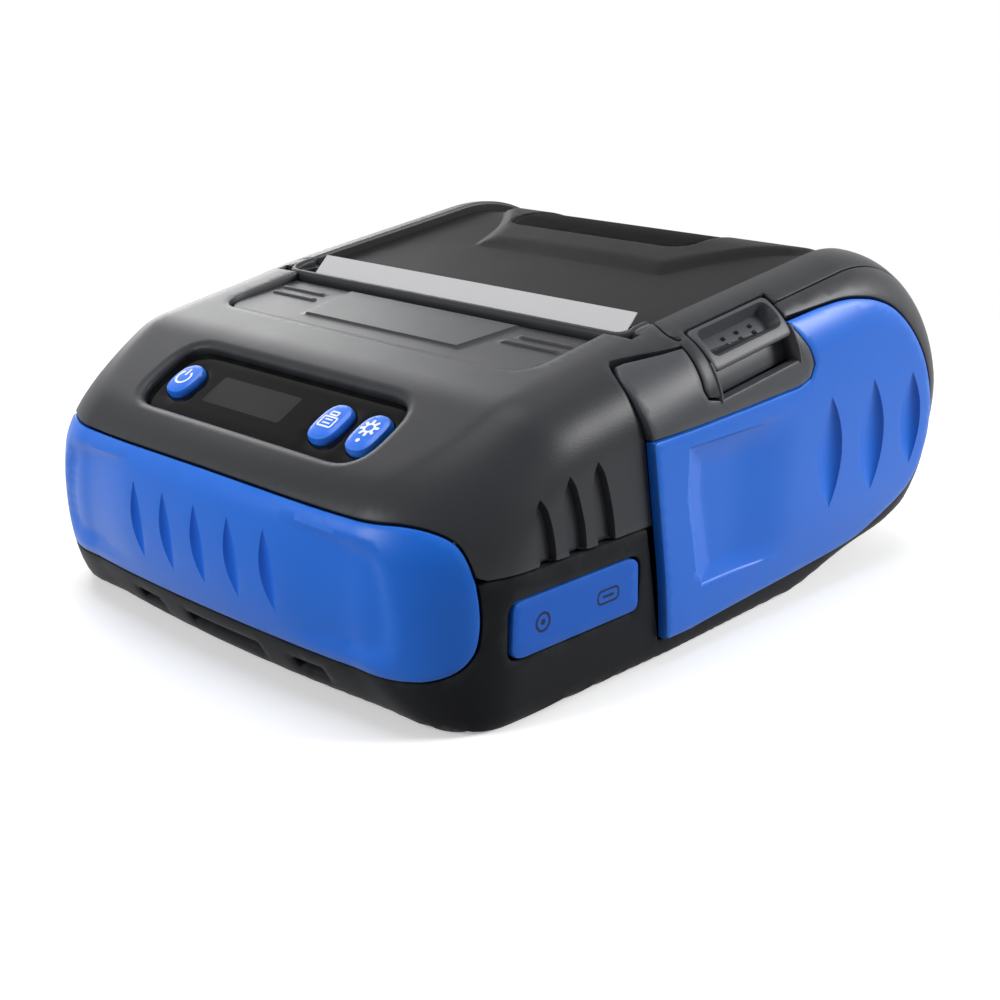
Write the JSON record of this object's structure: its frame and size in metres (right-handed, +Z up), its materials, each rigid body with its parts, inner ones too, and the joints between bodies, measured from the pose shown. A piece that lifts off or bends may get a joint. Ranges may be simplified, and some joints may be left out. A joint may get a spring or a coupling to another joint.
{
  "type": "label printer",
  "caption": "Desktop thermal label printer with clamshell lid, sloping display with keys, side port flap, release lever and a label roll inside",
  "frame": {"origin": "under the middle of the body, on the surface it stands on", "axes": "+X to the right seen from the front, +Y to the rear, +Z up"},
  "size_m": [0.114, 0.1464, 0.062],
  "materials": {
    "shell": "fine texture",
    "dark": "fine texture, near black",
    "blue": "satin",
    "window": "polished, smoked",
    "paper": "thermal paper",
    "card": "cardboard",
    "rubber": "ground",
    "steel": "bright",
    "alu": "anodised",
    "gear": "natural acetal",
    "board": "solder mask",
    "ceramic": "glazed ceramic"
  },
  "bodies": {
    "base": {"lower_housing": "shell", "upper_housing": "shell", "front_cover": "shell", "tear_bar": "shell", "front_bumper": "blue", "side_panel_right": "blue", "side_panel_left": "blue", "side_trim_right": "shell", "side_trim_left": "shell", "display_window": "window", "display_module": "dark", "button_board": "board", "button_switches": "window", "latch_pin": "steel", "latch_spring": "steel", "hinge_pin": "steel", "head_pivot_pin": "steel", "head_springs": "steel", "head_frame": "steel", "motor": "steel", "reduction_pin": "steel", "idler_pin": "steel", "media_bay": "shell", "gap_sensor": "window", "label_web": "paper", "main_board": "board", "board_components": "window", "port_board": "board", "power_jack": "window", "data_port": "steel", "battery_pack": "dark", "battery_contacts": "steel", "battery_door": "shell", "door_screws": "steel", "housing_screws": "steel", "inner_screws": "steel"},
    "power_key": {"power_button": "blue"},
    "feed_key": {"feed_button": "blue"},
    "settings_key": {"settings_button": "blue"},
    "lid_shell": {"lid": "dark", "lid_window": "window", "platen_carrier": "dark", "platen_bearings": "steel", "lid_screws": "steel"},
    "platen": {"platen_roller": "rubber", "platen_shaft": "steel", "platen_gear": "gear"},
    "latch": {"latch_lever": "shell"},
    "head": {"print_head": "ceramic", "head_heatsink": "alu"},
    "pinion": {"motor_pinion": "gear"},
    "reduction": {"reduction_gear": "gear"},
    "idler": {"idler_gear": "gear"},
    "roll": {"label_roll": "paper", "roll_core": "card"},
    "guide_right": {"roll_guide_right": "dark"},
    "guide_left": {"roll_guide_left": "dark"},
    "guide_wheel": {"guide_pinion": "gear"},
    "flap": {"port_cover": "blue"}
  },
  "joints": [
    {"name": "lid_hinge", "type": "hinge", "parent": "base", "child": "lid_shell", "pos_m": [0, 0.07075, 0.0285], "axis": [-1, 0, 0], "range_deg": [0, 90], "deforming": ["label_web"]},
    {"name": "latch_turn", "type": "hinge", "parent": "base", "child": "latch", "pos_m": [0.044, -0.00684, 0.04285], "axis": [0, 0.9903, 0.1392], "range_deg": [0, 12], "stiffness_Nm_per_rad": 0.05},
    {"name": "power_press", "type": "slide", "parent": "base", "child": "power_key", "axis": [0, 0.4879, -0.8729], "range_m": [0, 0.0005], "stiffness_N_per_m": 500},
    {"name": "feed_press", "type": "slide", "parent": "base", "child": "feed_key", "axis": [0, 0.4879, -0.8729], "range_m": [0, 0.0005], "stiffness_N_per_m": 500},
    {"name": "settings_press", "type": "slide", "parent": "base", "child": "settings_key", "axis": [0, 0.4879, -0.8729], "range_m": [0, 0.0005], "stiffness_N_per_m": 500},
    {"name": "platen_spin", "type": "hinge", "parent": "lid_shell", "child": "platen", "pos_m": [0, -0.00985, 0.045], "axis": [-1, 0, 0], "continuous": true},
    {"name": "head_pivot", "type": "hinge", "parent": "base", "child": "head", "pos_m": [0, -0.02244, 0.03763], "axis": [1, 0, 0], "range_deg": [0, 1.5], "stiffness_Nm_per_rad": 0.5},
    {"name": "idler_spin", "type": "hinge", "parent": "base", "child": "idler", "pos_m": [0, -0.01085, 0.03354], "axis": [-1, 0, 0], "continuous": true},
    {"name": "reduction_spin", "type": "hinge", "parent": "base", "child": "reduction", "pos_m": [0, -0.01978, 0.03029], "axis": [-1, 0, 0], "continuous": true},
    {"name": "pinion_spin", "type": "hinge", "parent": "base", "child": "pinion", "pos_m": [0, -0.03377, 0.03078], "axis": [-1, 0, 0], "continuous": true},
    {"name": "roll_spin", "type": "hinge", "parent": "base", "child": "roll", "pos_m": [0, 0.03475, 0.0325], "axis": [1, 0, 0], "continuous": true},
    {"name": "guide_right_slide", "type": "slide", "parent": "base", "child": "guide_right", "axis": [1, 0, 0], "range_m": [0, 0.004]},
    {"name": "guide_left_slide", "type": "slide", "parent": "base", "child": "guide_left", "axis": [-1, 0, 0], "range_m": [0, 0.004]},
    {"name": "guide_wheel_turn", "type": "hinge", "parent": "base", "child": "guide_wheel", "pos_m": [0, 0.03075, 0.005], "axis": [0, 0, 1], "range_deg": [0, 57.31]},
    {"name": "flap_hinge", "type": "hinge", "parent": "base", "child": "flap", "pos_m": [0.0546, -0.0405, 0.0121], "axis": [0, 1, 0], "range_deg": [0, 95]}
  ],
  "couplings": [
    {"joint": "idler_spin", "follows": "platen_spin", "ratio": -0.91667},
    {"joint": "reduction_spin", "follows": "platen_spin", "ratio": 1.5714},
    {"joint": "pinion_spin", "follows": "platen_spin", "ratio": -5.7619},
    {"joint": "guide_left_slide", "follows": "guide_right_slide", "ratio": 1},
    {"joint": "guide_wheel_turn", "follows": "guide_right_slide", "rad_per_m": 250}
  ]
}
